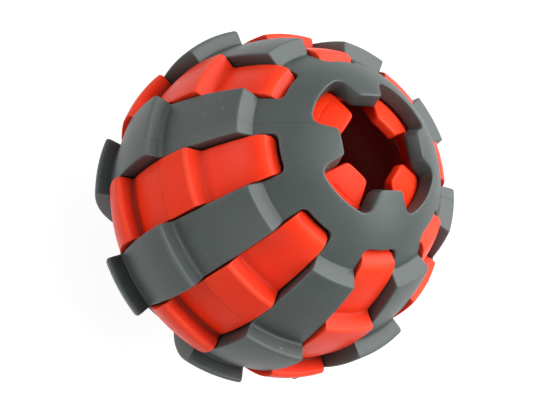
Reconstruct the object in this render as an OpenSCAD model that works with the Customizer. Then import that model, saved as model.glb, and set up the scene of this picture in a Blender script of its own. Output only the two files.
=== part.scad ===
// Treat dispensing ball: a grey rubber cage with eight tread bands round a
// red rubber ball, whose own tread stands out through the slots between them.
// The +Z end is the mouth that faces the viewer. The origin is the centre of
// the ball, and lengths are in millimetres.

/* [Cage] */
// Radius over the ridges of the grey tread, half the ball's width
tread_r = 50; // [46:0.5:55]
// Depth of the creases between the grey tread blocks
tread_depth = 4.9; // [4:0.1:5.4]
// Thickness of the cage wall under the creases
waist_wall = 4.5; // [4:0.1:5.5]
// How much smaller the domed ends are than the tread, in radius
dome_inset = 13.4; // [12.8:0.1:13.8]
// How far the domed ends would stand out past the tread
dome_rise = 1.7; // [1.2:0.1:2.2]
// Thickness of the cage wall at its domed ends
dome_wall = 4.7; // [4.2:0.1:5.2]

/* [Grey tread] */
// Angle from the axis to the ridge nearest the mouth
ridge_top_deg = 45.4; // [44.8:0.1:46.2]
// Angle from the axis to the middle ridge
ridge_mid_deg = 79.2; // [77:0.2:81]
// Angle from the axis to the ridge past the waist
ridge_low_deg = 110.9; // [109:0.2:112.5]
// How far the two lower step faces lean down from crease to ridge
step_lean = 1; // [0.4:0.2:1.8]
// Bulge of the first block over its chord
bulge_top = 0.85; // [0.5:0.05:1.2]
// Bulge of the second block over its chord
bulge_mid = 2; // [1.4:0.1:2.4]
// Bulge of the third block over its chord
bulge_low = 1.7; // [1.3:0.1:2.2]

/* [Slots] */
// Number of tread bands of each colour
bands = 8; // [8:1:8]
// Half of the angle that a slot takes up, seen along the axis
slot_half_deg = 11.5; // [11:0.1:12]
// Angle from the axis to the end of a slot
slot_end_deg = 33.2; // [32.6:0.2:34]
// Radius of the corners of a slot
slot_corner_r = 1.9; // [1.5:0.1:2.3]

/* [Mouth of the cage] */
// Radius of the four lobes of the mouth
lobe_r = 19.7; // [19.2:0.1:20.2]
// How far the four teeth reach in from the rim of the lobes
tooth_length = 6.8; // [6:0.1:7.4]
// Half width of a tooth at its tip
tooth_tip_half = 3.6; // [3:0.1:4]
// Half width of a tooth where it leaves the rim
tooth_root_half = 6.3; // [5.6:0.1:6.8]
// Radius of the corners where a tooth meets the rim
tooth_fillet_r = 2.2; // [1.4:0.1:2.6]

/* [Ball] */
// Gap between the ball and the inside of the cage
fit_gap = 0.3; // [0.2:0.05:0.4]
// Gap between a red block and its slot, at the waist
side_gap = 0.5; // [0.4:0.05:0.7]
// Thickness of the ball's wall
ball_wall = 4.2; // [3.8:0.1:4.6]
// How far the ridges of the red tread lie below those of the grey
block_inset = 2.3; // [1.6:0.1:3]
// Depth of the creases between the red blocks
block_depth = 4.4; // [3.8:0.1:5]
// Angle from the axis to the first ridge of a red band, at its flat end
block_end_deg = 38.2; // [37.6:0.1:38.8]
// Angle from the axis to the second red ridge
block_mid_deg = 64.4; // [63:0.2:66]
// Angle from the axis to the third red ridge
block_low_deg = 99.4; // [98:0.2:101]
// How far the third red step leans down from crease to ridge
block_lean = 3.2; // [2.6:0.2:3.8]
// Bulge of the red blocks over their chords
block_bulge = 1.3; // [1:0.1:1.6]
// Angle from the axis to the tail of a red band
block_tail_deg = 146.1; // [145.6:0.1:146.8]
// How far the tail of a red band lies below its ridges
block_tail_inset = 2.5; // [2:0.1:3]

/* [Flaps] */
// How far the hole in the ball lies inside the rim of the lobes
hole_step = 3.8; // [3.5:0.1:4.4]
// Distance from the edge of the hole to the hinge line of a flap
hinge_step = 1.7; // [1.5:0.1:1.9]
// Half width of a flap at its hinge
flap_root_half = 5.6; // [5.2:0.1:5.9]
// Length of a flap from its hinge line to its tip, seen along the axis
flap_length = 5; // [4.4:0.1:5.4]
// Half width of a flap at its tip
flap_tip_half = 3.3; // [2.8:0.1:3.6]
// Gap round the hinge roll of a flap
hinge_gap = 0.3; // [0.25:0.05:0.4]

/* [Hidden] */
$fn = 96;

cage_grey = [0.38, 0.41, 0.40];
ball_red = [0.93, 0.20, 0.12];

pitch_deg = 360 / bands;
mouths = 4;
mouth_pitch_deg = 360 / mouths;
// Teeth stand over the red bands of one pair, flaps over those of the other
tooth_deg = -pitch_deg / 2;
flap_deg = pitch_deg / 2;

crease_r = tread_r - tread_depth;
waist_r = crease_r - waist_wall;
dome_r = tread_r - dome_inset;
// Distance from the centre of the ball to the centre of each dome
dome_z = tread_r + dome_rise - dome_r;
dome_in_r = dome_r - dome_wall;
block_r = tread_r - block_inset;
block_crease_r = block_r - block_depth;
block_tail_r = block_r - block_tail_inset;
tooth_tip_r = lobe_r - tooth_length;
hole_r = lobe_r - hole_step;
hinge_r = hole_r - hinge_step;
flap_tip_r = hinge_r - flap_length;
ball_dome_r = dome_in_r - fit_gap;
ball_waist_r = waist_r - fit_gap;
cavity_dome_r = ball_dome_r - ball_wall;
cavity_waist_r = ball_waist_r - ball_wall;
// Reach of the cutters past everything they cut
reach = 2 * tread_r;
// Flats that round one corner of a slot
corner_flats = 2;

// The gap and the corners of a slot as angles seen from the centre of the ball
gap_deg = asin(side_gap / block_r);
corner_deg = asin(slot_corner_r / block_r);

// A flap lies halfway through the wall of the ball's dome and turns there
flap_mid_r = ball_dome_r - ball_wall / 2;
hinge_z = dome_z + sqrt(flap_mid_r * flap_mid_r - hinge_r * hinge_r);
// Slope of the dome at the hinge line
hinge_slope = asin(hinge_r / flap_mid_r);

// Direction of a vector
function unit(v) = v / norm(v);
// Distance from the axis of a point at height z on a sphere of radius r
function rho(r, z) = sqrt(r * r - z * z);
// The same on a dome, whose centre is off the origin
function dome_rho(r, z) = sqrt(r * r - pow(abs(z) - dome_z, 2));
// Radius of the arc with chord ab and bulge s
function arc_r(a, b, s) = (pow(norm(b - a) / 2, 2) + s * s) / (2 * s);
// Centre of that arc, on the axis side of the chord from ridge a down to crease b
function arc_c(a, b, s) =
    let (u = unit(b - a), n = [u[1], -u[0]])
    (a + b) / 2 + n * (arc_r(a, b, s) - s);

// Point on a sphere of radius r at an angle from the axis, as [distance from the axis, height]
function on_ball(r, deg) = r * [sin(deg), cos(deg)];
// Crease above a ridge: on a sphere of radius r, higher than the ridge by the lean of the step
function above(ridge, r, lean) = [rho(r, ridge[1] + lean), ridge[1] + lean];

// Ridge and crease points of the grey tread
ridge_1 = on_ball(tread_r, ridge_top_deg);
ridge_2 = on_ball(tread_r, ridge_mid_deg);
ridge_3 = on_ball(tread_r, ridge_low_deg);
crease_2 = above(ridge_2, crease_r, step_lean);
crease_3 = above(ridge_3, crease_r, step_lean);
tail_4 = [dome_rho(dome_r, ridge_1[1]), -ridge_1[1]];

// The same for the red tread
block_1 = on_ball(block_r, block_end_deg);
block_2 = on_ball(block_r, block_mid_deg);
block_3 = on_ball(block_r, block_low_deg);
groove_2 = above(block_2, block_crease_r, 0);
groove_3 = above(block_3, block_crease_r, block_lean);
tail_3 = on_ball(block_tail_r, block_tail_deg);

// Height at distance x from the axis of the line from a crease to the ridge of its step
function on_step(crease, ridge, x) =
    crease[1] + (x - crease[0]) * (ridge[1] - crease[1]) / (ridge[0] - crease[0]);

// One tread block in half section: below the line of its step, inside the arc
// from its ridge down to the next crease, and above its foot at the height foot_z
module block_section(crease, ridge, next, bulge, foot_z) {
    side = max(ridge[0], next[0]) + 2 * bulge;
    intersection() {
        translate(arc_c(ridge, next, bulge)) circle(r = arc_r(ridge, next, bulge));
        polygon([[0, on_step(crease, ridge, 0)], [side, on_step(crease, ridge, side)],
            [side, foot_z], [0, foot_z]]);
    }
}

// Half section of a solid with a round waist and two domed ends
module capsule_section(waist, dome) {
    intersection() {
        union() {
            circle(r = waist);
            for (s = [-1, 1]) translate([0, s * dome_z]) circle(r = dome);
        }
        translate([0, -reach]) square([reach, 2 * reach]);
    }
}

// Half section of the cage's outside: two domes and the tread round them
module cage_section() {
    intersection() {
        for (s = [-1, 1]) translate([0, s * dome_z]) circle(r = dome_r);
        translate([0, -reach]) square([reach, 2 * reach]);
    }
    block_section([0, ridge_1[1]], ridge_1, crease_2, bulge_top, crease_2[1] - bulge_top);
    block_section(crease_2, ridge_2, crease_3, bulge_mid, crease_3[1] - bulge_mid);
    block_section(crease_3, ridge_3, tail_4, bulge_low, tail_4[1] - bulge_low);
}

// Half section of the red tread
module tread_section() {
    block_section([0, block_1[1]], block_1, groove_2, block_bulge, groove_2[1] - block_bulge);
    block_section(groove_2, block_2, groove_3, block_bulge, groove_3[1] - block_bulge);
    block_section(groove_3, block_3, tail_3, block_bulge, tail_3[1]);
}

// Half space behind a plane through the centre of the ball, normal pointing out
module behind(normal) {
    rotate([0, acos(normal[2]), atan2(normal[1], normal[0])])
        translate([-reach, -reach, -2 * reach]) cube(2 * reach);
}

// Profile of a slot seen along the axis or from the side: it opens at half_deg
// either side of X, from inside the cage outwards
module fan(half_deg) {
    start = dome_in_r / 2;
    polygon([[start, -start * tan(half_deg)], [reach, -reach * tan(half_deg)],
        [reach, reach * tan(half_deg)], [start, start * tan(half_deg)]]);
}

// Space of one slot along X, drawn in by inset degrees. All its walls point at
// the centre of the ball, and flats round its four corners
module slot_space(inset) {
    half_deg = slot_half_deg - inset;
    end_deg = slot_end_deg + inset;
    round_deg = corner_deg - inset / 2;
    side = [-sin(half_deg), cos(half_deg), 0];
    end = [-cos(end_deg), 0, sin(end_deg)];
    lean = -sin(round_deg) / (1 + side * end) * (side + end);
    middle = lean + sqrt(1 - lean * lean) * unit(cross(side, end));
    intersection() {
        linear_extrude(height = 2 * reach, center = true) fan(half_deg);
        rotate([90, 0, 0]) linear_extrude(height = 2 * reach, center = true) fan(90 - end_deg);
        intersection_for(t = [1 : corner_flats], m = [[1, 1], [-1, 1], [-1, -1], [1, -1]])
            let (mix = unit((corner_flats + 1 - t) * side + t * end),
                flat = unit(mix - (sin(round_deg) + middle * mix) * middle))
            behind([flat[0], m[0] * flat[1], m[1] * flat[2]]);
    }
}

// Outline of the mouth: four round-cornered lobes between four teeth, with a
// tooth on X
module mouth_outline() {
    tip = [tooth_tip_r, tooth_tip_half];
    root = [rho(lobe_r, tooth_root_half), tooth_root_half];
    along = unit(root - tip);
    across = [-along[1], along[0]];
    base = tip + across * tooth_fillet_r;
    run = sqrt(pow(base * along, 2) - base * base + pow(lobe_r - tooth_fillet_r, 2)) - base * along;
    centre = base + along * run;
    centre_deg = atan2(centre[1], centre[0]);
    polygon([for (k = [0 : mouths - 1], s = [-1, 1])
        let (a = k * mouth_pitch_deg)
        [tip[0] * cos(a) - s * tip[1] * sin(a), tip[0] * sin(a) + s * tip[1] * cos(a)]]);
    for (k = [0 : mouths - 1]) rotate(k * mouth_pitch_deg) {
        for (m = [0, 1]) rotate(m * mouth_pitch_deg) mirror([0, m, 0]) {
            polygon([[0, 0], tip, tip + along * run, centre]);
            translate(centre) circle(r = tooth_fillet_r);
        }
        intersection() {
            circle(r = lobe_r);
            polygon([[0, 0], reach * [cos(centre_deg), sin(centre_deg)],
                reach * [cos(mouth_pitch_deg / 2), sin(mouth_pitch_deg / 2)],
                reach * [sin(centre_deg), cos(centre_deg)]]);
        }
    }
}

module outer_cage() {
    color(cage_grey)
    difference() {
        difference() {
            rotate_extrude() difference() {
                cage_section();
                capsule_section(waist_r, dome_in_r);
            }
            rotate(tooth_deg) linear_extrude(height = 2 * reach, center = true) mouth_outline();
        }
        for (i = [0 : bands - 1]) rotate((i + 1 / 2) * pitch_deg) slot_space(0);
    }
}

module inner_ball() {
    color(ball_red)
    difference() {
        union() {
            rotate_extrude() capsule_section(ball_waist_r, ball_dome_r);
            for (i = [0 : bands - 1]) rotate((i + 1 / 2) * pitch_deg)
                intersection() {
                    rotate_extrude() tread_section();
                    slot_space(gap_deg);
                }
        }
        rotate_extrude() capsule_section(cavity_waist_r, cavity_dome_r);
        cylinder(h = 2 * reach, r = hole_r, center = true);
        for (m = [0, 1], k = [0 : mouths - 1]) mirror([0, 0, m]) rotate(flap_deg + k * mouth_pitch_deg)
            hinge_roll(ball_wall / 2 + hinge_gap, flap_root_half + hinge_gap);
    }
}

// Roll along the hinge line of the flap on X
module hinge_roll(r, half) {
    translate([hinge_r, 0, hinge_z]) rotate([90, 0, 0]) cylinder(h = 2 * half, r = r, center = true);
}

// The flap on X at the mouth: a piece of the dome's wall that narrows to its
// tip and ends square to the wall at the hinge line, with a roll along that line
module flap() {
    color(ball_red)
    translate([0, 0, dome_z]) intersection() {
        sphere(r = ball_dome_r);
        union() {
            difference() {
                linear_extrude(height = reach) polygon([
                    [flap_tip_r, -flap_tip_half], [hinge_r, -flap_root_half], [hole_r, -flap_root_half],
                    [hole_r, flap_root_half], [hinge_r, flap_root_half], [flap_tip_r, flap_tip_half]]);
                sphere(r = cavity_dome_r);
                translate([hinge_r, 0, hinge_z - dome_z]) rotate([0, hinge_slope, 0])
                    translate([0, -reach, -reach]) cube(2 * reach);
            }
            translate([0, 0, -dome_z]) hinge_roll(ball_wall / 2, flap_root_half);
        }
    }
}

module top_flap(k) {
    rotate(flap_deg + k * mouth_pitch_deg) flap();
}

module bottom_flap(k) {
    mirror([0, 0, 1]) rotate(flap_deg + k * mouth_pitch_deg) flap();
}

outer_cage();
inner_ball();
top_flap(0);  // top_flap_1
top_flap(1);  // top_flap_2
top_flap(2);  // top_flap_3
top_flap(3);  // top_flap_4
bottom_flap(0);  // bottom_flap_1
bottom_flap(1);  // bottom_flap_2
bottom_flap(2);  // bottom_flap_3
bottom_flap(3);  // bottom_flap_4
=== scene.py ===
import math

import bmesh
import bpy
import numpy as np
from bpy.props import FloatProperty, FloatVectorProperty, PointerProperty
from mathutils import Matrix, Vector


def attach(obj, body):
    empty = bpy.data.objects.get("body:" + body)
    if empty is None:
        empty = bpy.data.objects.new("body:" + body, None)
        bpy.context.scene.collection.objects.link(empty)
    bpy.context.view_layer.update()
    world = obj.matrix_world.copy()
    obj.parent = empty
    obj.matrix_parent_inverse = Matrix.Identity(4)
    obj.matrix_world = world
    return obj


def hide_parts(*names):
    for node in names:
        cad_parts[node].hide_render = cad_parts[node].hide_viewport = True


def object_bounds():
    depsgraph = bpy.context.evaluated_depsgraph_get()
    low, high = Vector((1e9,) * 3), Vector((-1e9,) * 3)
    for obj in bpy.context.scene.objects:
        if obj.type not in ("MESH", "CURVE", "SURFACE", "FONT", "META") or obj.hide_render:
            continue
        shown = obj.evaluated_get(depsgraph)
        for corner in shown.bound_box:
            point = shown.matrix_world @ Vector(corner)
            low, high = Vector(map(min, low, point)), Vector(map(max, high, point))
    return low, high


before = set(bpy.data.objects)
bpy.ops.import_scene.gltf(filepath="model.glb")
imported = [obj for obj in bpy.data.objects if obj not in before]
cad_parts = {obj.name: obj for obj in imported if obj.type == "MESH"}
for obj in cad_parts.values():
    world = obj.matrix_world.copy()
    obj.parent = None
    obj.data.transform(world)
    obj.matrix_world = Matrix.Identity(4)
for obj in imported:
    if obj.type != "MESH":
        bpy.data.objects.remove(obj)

bl_info = {
    "name": "Treat Ball",
    "version": (1, 0, 0),
    "blender": (4, 5, 0),
    "location": "View3D > Sidebar > Treat Ball",
    "description": "A treat ball: a grey rubber cage round a red rubber ball with sprung flaps",
    "category": "Object",
}

CAD_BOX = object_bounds()
MM = 0.001


def length(name, description, value):
    """A length that a user can change, given in millimetres."""
    return FloatProperty(name=name, description=description, default=value * MM, unit="LENGTH",
                         precision=5)


def turn(name, description, value):
    """An angle that a user can change, given in degrees."""
    return FloatProperty(name=name, description=description, default=math.radians(value),
                         subtype="ANGLE")


def share(name, description, value):
    """A share from 0 to 1 that a user can change."""
    return FloatProperty(name=name, description=description, default=value, min=0, max=1,
                         subtype="FACTOR")


def colour(name, description, value):
    """A colour that a user can change, given in sRGB from 0 to 255 and kept as linear light."""
    linear = [((c / 255 + 0.055) / 1.055) ** 2.4 if c > 10 else c / 255 / 12.92 for c in value]
    return FloatVectorProperty(name=name, description=description, default=linear, size=3,
                               min=0, max=1, subtype="COLOR")


# Sizes and colours

class CageSizes(bpy.types.PropertyGroup):
    """Sizes of the grey cage."""
    tread_r: length("Tread radius", "Radius over the ridges of the tread", 50)
    crease_r: length("Crease radius", "Radius of the creases between the tread blocks", 45.1)
    dome_r: length("Dome radius", "Radius of the domed ends", 36.6)
    dome_z: length("Dome height", "Distance from the centre of the ball to that of a dome", 15.1)
    dome_wall: length("Dome wall", "Thickness of the wall at the domed ends", 4.7)
    waist_r: length("Waist radius", "Inside radius at the waist", 40.6)
    ridge_top_z: length("Top ridge", "Height of the ridge nearest the mouth", 35.11)
    ridge_mid_z: length("Middle ridge", "Height of the middle ridge", 11.4)
    ridge_mid_r: length("Middle ridge radius", "Radius of the middle ridge from the centre", 49.7)
    ridge_low_z: length("Low ridge", "Height of the ridge past the waist", -17.84)
    step_lean: length("Step lean", "How far the low step leans down from crease to ridge", 1)
    bulge_top: length("Top bulge", "Bulge of the first block over its chord", 0.85)
    bulge_mid: length("Middle bulge", "Bulge of the second block over its chord", 2)
    bulge_low: length("Low bulge", "Bulge of the third block over its chord", 1.7)
    slot_half: turn("Slot half angle", "Half of the angle that a slot takes round the axis", 11.5)
    slot_end: turn("Slot end", "Angle from the axis to the end of a slot", 33.2)
    slot_corner: length("Slot corner", "Radius of the corners of a slot", 1.9)
    edge_r: length("Edge radius", "Radius of the moulded edges", 0.5)
    crisp: length("Crisp ridge", "Reach of the first step's rounding to each side", 0.35)
    ridge_soft: length("Ridge softness", "Reach of the other ridges' rounding to each side", 1.2)
    crease_soft: length("Crease softness", "Reach of a crease's rounding to each side", 0.8)


class MouthSizes(bpy.types.PropertyGroup):
    """Sizes of the mouths of the cage."""
    lobe_r: length("Lobe radius", "Radius of the four lobes", 19.7)
    tooth_tip_r: length("Tooth tip radius", "Radius to the tips of the four teeth", 12.9)
    tooth_tip_half: length("Tooth tip half width", "Half width of a tooth at its tip", 3.6)
    tooth_root_half: length("Tooth root half width", "Half width of a tooth at the rim", 6.3)
    tooth_fillet_r: length("Lobe corner radius", "Radius where a tooth meets the rim", 2.2)
    tip_soft: length("Tip softness", "How far the rounding of a tooth's corner reaches", 0.9)
    edge_r: length("Mouth edge radius", "Radius of the edge of the mouth", 0.7)
    slope: length("Mouth slope", "How much smaller the mouth is at the inside of the wall", 1.3)
    # The mouth's wall is painted darker inwards, as shade
    wall_dark: share("Wall shade", "How deep the colour of the mouth's wall gets", 0.2)
    foot_dark: share("Foot shade", "How deep the colour is at the inside edge of the mouth", 0.26)


class BallSizes(bpy.types.PropertyGroup):
    """Sizes of the red ball."""
    fit_gap: length("Fit gap", "Gap between the ball and the inside of the cage", 0.3)
    side_gap: length("Side gap", "Gap between a block and its slot", 0.5)
    wall: length("Wall", "Thickness of the ball's wall", 4.2)
    block_r: length("Block radius", "Radius over the ridges of the tread", 47.7)
    crease_r: length("Crease radius", "Radius of the creases between the blocks", 43.3)
    end_z: length("Band end", "Height of the flat end of a band", 38.2)
    end_r: length("Band end radius", "Radius of the ridge at the flat end", 47.8)
    mid_z: length("Second ridge", "Height of the second ridge", 21.5)
    low_z: length("Third ridge", "Height of the third ridge", -3.6)
    low_lean: length("Third step lean", "How far the third step leans down", 0.4)
    bulge_top: length("Top bulge", "Bulge of the first block over its chord", 1.6)
    bulge_mid: length("Middle bulge", "Bulge of the second block over its chord", 1.3)
    bulge_low: length("Low bulge", "Bulge of the third block over its chord", 3.0)
    tail_z: length("Tail", "Height at which the tail of a band ends", -37.52)
    tail_r: length("Tail radius", "Radius of the tail from the centre", 45.2)
    edge_r: length("Edge radius", "Radius of the moulded edges", 0.35)
    end_soft: length("End softness", "Reach of the flat end's rounding to each side", 0.3)
    ridge_soft: length("Ridge softness", "Reach of the other ridges' rounding to each side", 1)
    crease_soft: length("Crease softness", "Reach of a crease's rounding to each side", 0.8)
    hole_r: length("Hole radius", "Radius of the hole at each end", 15.9)
    # Painted shade in the hollow and on the ball's core under the cage
    hollow_dark: share("Hollow shade", "How deep the colour of the hollow is", 0.22)
    dark_reach: length("Shade reach", "How far in from the hole the hollow reaches that colour", 8)
    core_clear: length("Clear core", "Height over a dome's centre where the dark core ends", 20)


class FlapSizes(bpy.types.PropertyGroup):
    """Sizes of the flaps of the red ball."""
    hinge_r: length("Hinge radius", "Distance from the axis to the hinge line", 14.2)
    root_half: length("Root half width", "Half width at the hinge line", 6.2)
    tip_r: length("Tip radius", "Distance from the axis to the tip", 8.6)
    tip_half: length("Tip half width", "Half width at the tip", 3.4)
    tip_thin: length("Tip thinning", "How much thinner the tip is than the root", 1.4)
    tip_corner: length("Tip corner", "Radius of the corners of the tip, in plan", 0.8)
    edge_r: length("Edge radius", "Radius of the edges", 0.6)


class Finishes(bpy.types.PropertyGroup):
    """Colours and finishes of the two rubbers."""
    grey: colour("Grey rubber", "Colour of the cage", (53, 61, 59))
    # The bloom tints the cloud, specks and scratches, and rounded edges partly as wear and partly
    # as a painted highlight
    grey_dust_and_sheen: colour("Grey bloom", "Paler colour where the grey rubber is rubbed", (94, 103, 101))
    # Colour of the painted shade in creases, gaps and hollows, and of the parting line's stain
    grey_shade_and_stain: colour("Deep grey", "Colour of the grey rubber in folds and gaps", (34, 30, 29))
    red: colour("Red rubber", "Colour of the ball", (242, 48, 14))
    # The bloom tints the cloud, specks and scratches, and rounded edges partly as wear and partly
    # as a painted highlight
    red_dust_and_sheen: colour("Red bloom", "Paler colour where the red rubber is rubbed", (250, 92, 62))
    # Colour of the painted shade in creases, gaps and hollows, and of the parting line's stain
    red_shade_and_stain: colour("Deep red", "Colour of the red rubber in folds and gaps", (60, 2, 0))
    grain: share("Grain", "Strength of the moulded grain", 0.35)
    grey_rough: share("Grey roughness", "Roughness of the grey rubber", 0.45)
    red_rough: share("Red roughness", "Roughness of the red rubber", 0.4)
    parting: turn("Parting plane", "Angle round the axis of the cage mould's parting plane", -40)
    red_line: length("Red parting height", "Height of the parting line on the red blocks", 10.9)


class StageSizes(bpy.types.PropertyGroup):
    """Camera, lamps and floor."""
    tilt: turn("Axis to view", "Angle between the ball's axis and the view", 40.9)
    roll: turn("Roll", "Turn of the ball's axis in the picture", 30.2)
    swing: turn("Swing", "Turn of the ball about its own axis", 1.8)
    distance: length("Distance", "Distance from the camera to the centre", 518.9)
    lens: FloatProperty(name="Lens", description="Focal length in millimetres", default=122.4)
    lamp_far: length("Lamp distance", "Distance of the lamps from the centre", 800)
    lamp_size: length("Lamp size", "Width of a lamp", 500)
    ambient: share("Ambient light", "Light from all sides", 0.08)
    floor_half: length("Floor", "Half the width of the floor", 900)
    floor_drop: length("Floor drop", "How far the floor lies under the ball", 0.3)


# Curves, as rows of two coordinates: in half section, distance from the axis and height

# Distance between the points of a curve once it is rounded
CURVE_STEP = 0.05 * MM


def smooth(x):
    """0 below 0, 1 above 1 and 3 x^2 - 2 x^3 between."""
    x = np.clip(x, 0.0, 1.0)
    return x * x * (3 - 2 * x)


def on_sphere(radius, z):
    """The point of a sphere round the origin at height z, as distance from the axis and height."""
    return np.array([math.sqrt(radius * radius - z * z), z])


def bow(a, b, bulge, early=1.0, count=80):
    """A bowed line from a to b: the chord plus bulge * 4 w (1 - w) along its outward normal, where
    w is t to the power of `early`, so that below 1 the bulge is greatest before the middle."""
    t = np.linspace(0, 1, count)[:, None]
    w = t ** early
    chord = b - a
    outward = np.array([-chord[1], chord[0]]) / np.hypot(*chord)
    return a + t * chord + outward * bulge * 4 * w * (1 - w)


def dome_arc(radius, centre_z, start_rho, end_rho, side, count=120):
    """An arc of a dome: height is centre_z + sqrt(radius^2 - rho^2), and mirrored for side -1."""
    rho = np.linspace(start_rho, end_rho, count)
    return np.stack([rho, side * (centre_z + np.sqrt(radius ** 2 - rho ** 2))], axis=1)


def length_along(points):
    """The length of a curve up to each of its points."""
    return np.concatenate([[0.0], np.cumsum(np.hypot(*np.diff(points, axis=0).T))])


def rounded(values, reach):
    """The mean of one coordinate of a curve over `reach` each side of every point,
    (F(s + reach) - F(s - reach)) / (2 reach), where F is its integral and its ends are carried on
    straight."""
    extra = int(math.ceil(np.max(reach) / CURVE_STEP)) + 1
    before = 2 * values[0] - values[extra:0:-1]
    after = 2 * values[-1] - values[-2:-extra - 2:-1]
    longer = np.concatenate([before, values, after])
    total = np.concatenate([[0.0], np.cumsum((longer[1:] + longer[:-1]) / 2)]) * CURVE_STEP
    place = (np.arange(len(longer)) - extra) * CURVE_STEP
    s = np.arange(len(values)) * CURVE_STEP
    return (np.interp(s + reach, place, total) - np.interp(s - reach, place, total)) / (2 * reach)


def first_hit(rho, z, u, waist, dome, dome_z):
    """How far a ray from each point must go to meet a capsule, the union of three spheres.

    For a sphere of radius r round C, the ray P + t u meets it at t = -b - sqrt(b^2 - c), where b
    is (P - C).u and c is |P - C|^2 - r^2. The least t counts, and one just behind P as 0."""
    behind = -0.02 * MM
    best = np.full(rho.shape, np.inf)
    for radius, centre in ((waist, 0.0), (dome, dome_z), (dome, -dome_z)):
        b = rho * u[:, 0] + (z - centre) * u[:, 1]
        c = rho ** 2 + (z - centre) ** 2 - radius ** 2
        inside = b * b - c
        t = np.where(inside > 0, -b - np.sqrt(np.maximum(inside, 0)), np.inf)
        best = np.where(t > behind, np.minimum(best, t), best)
    return np.maximum(best, 0)


class Section:
    """Half section of a moulding as a curve by its own length.

    The pieces are joined end to end, and each corner between them is rounded by averaging the
    curve over a reach to each side, which `soft` gives for every corner and which runs evenly
    between them. `folds` gives the number of each corner that is a crease and how strong the
    painted shade along it is. Each point has a direction into the wall, which runs to the capsule
    `core`: down the axis within `straight` of it, else towards the centre, with its height
    component cut by up to `level` of it near the height `level_z`, so that the rulings under an
    overhanging step don't cross."""

    # How far the change from down to inwards reaches, and that of the cut in height
    straight_reach, level_reach = 3.5 * MM, 12 * MM
    # Turn of the curve in a millimetre that counts as a full edge, as its inverse
    edge_gain = 1.6

    def __init__(self, pieces, soft, folds, core, straight, level=0.0, level_z=0.0):
        points = np.concatenate([p[:-1] for p in pieces[:-1]] + [pieces[-1]])
        ends = np.cumsum([len(p) - 1 for p in pieces])[:-1]
        run = length_along(points)
        self.knots, self.soft, self.folds = run[ends], np.array(soft), folds
        self.s = np.arange(0.0, run[-1], CURVE_STEP)
        reach = np.interp(self.s, self.knots, self.soft)
        self.rho, self.z = (rounded(np.interp(self.s, run, points[:, i]), reach) for i in (0, 1))
        tangent = np.gradient(np.stack([self.rho, self.z]), CURVE_STEP, axis=1)
        heading = np.unwrap(np.arctan2(tangent[1], tangent[0]))
        self.bend = np.gradient(-heading, CURVE_STEP) * MM
        self.theta = np.arctan2(self.rho, self.z)
        keep = 1 - level * np.exp(-((self.z - level_z) / self.level_reach) ** 2)
        radial = -np.stack([self.rho, self.z * keep], axis=1)
        radial /= np.linalg.norm(radial, axis=1)[:, None]
        down = np.stack([np.zeros_like(self.z), -np.sign(self.z)], axis=1)
        share_down = 1 - smooth((self.rho - straight) / self.straight_reach)
        u = radial + share_down[:, None] * (down - radial)
        self.u = u / np.linalg.norm(u, axis=1)[:, None]
        self.wall = first_hit(self.rho, self.z, self.u, *core)

    def place(self, s, azimuth, depth=0.0, part=None, short=0.0):
        """Points at places s along the curve, turned by azimuth about the axis and moved into the
        wall by `depth`, or where `part` is given, by depth + part * (wall - depth) - short."""
        rho, z, u0, u1, wall = (np.interp(s, self.s, v) for v in (
            self.rho, self.z, self.u[:, 0], self.u[:, 1], self.wall))
        move = depth if part is None else depth + part * (wall - depth) - short
        move = np.minimum(move, wall)
        r = rho + u0 * move
        return np.stack([r * np.cos(azimuth), r * np.sin(azimuth), z + u1 * move], axis=-1)

    def edge(self, s):
        """How sharply the curve bends outwards at s, from 0 on a flat to 1 on a rounded ridge."""
        return np.clip(np.interp(s, self.s, self.bend) * self.edge_gain, 0, 1)

    def crease_shade(self, s):
        """Painted shade along the creases: how near s is to one, as the greatest of
        dark * exp(-(distance / (2 reach))^2).
        """
        number, dark = list(self.folds), np.array(list(self.folds.values()))
        away = (np.asarray(s)[..., None] - self.knots[number]) / (2 * self.soft[number])
        return (dark * np.exp(-away ** 2)).max(axis=-1)

    def at_rho(self, rho, end):
        """The place of distance rho from the axis on the first dome (end 1) or last (end -1)."""
        # An eighth of the curve lies well inside a dome
        dome = len(self.s) // 8
        if end > 0:
            return np.interp(rho, self.rho[:dome], self.s[:dome])
        return np.interp(rho, self.rho[:-dome:-1], self.s[:-dome:-1])


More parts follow.
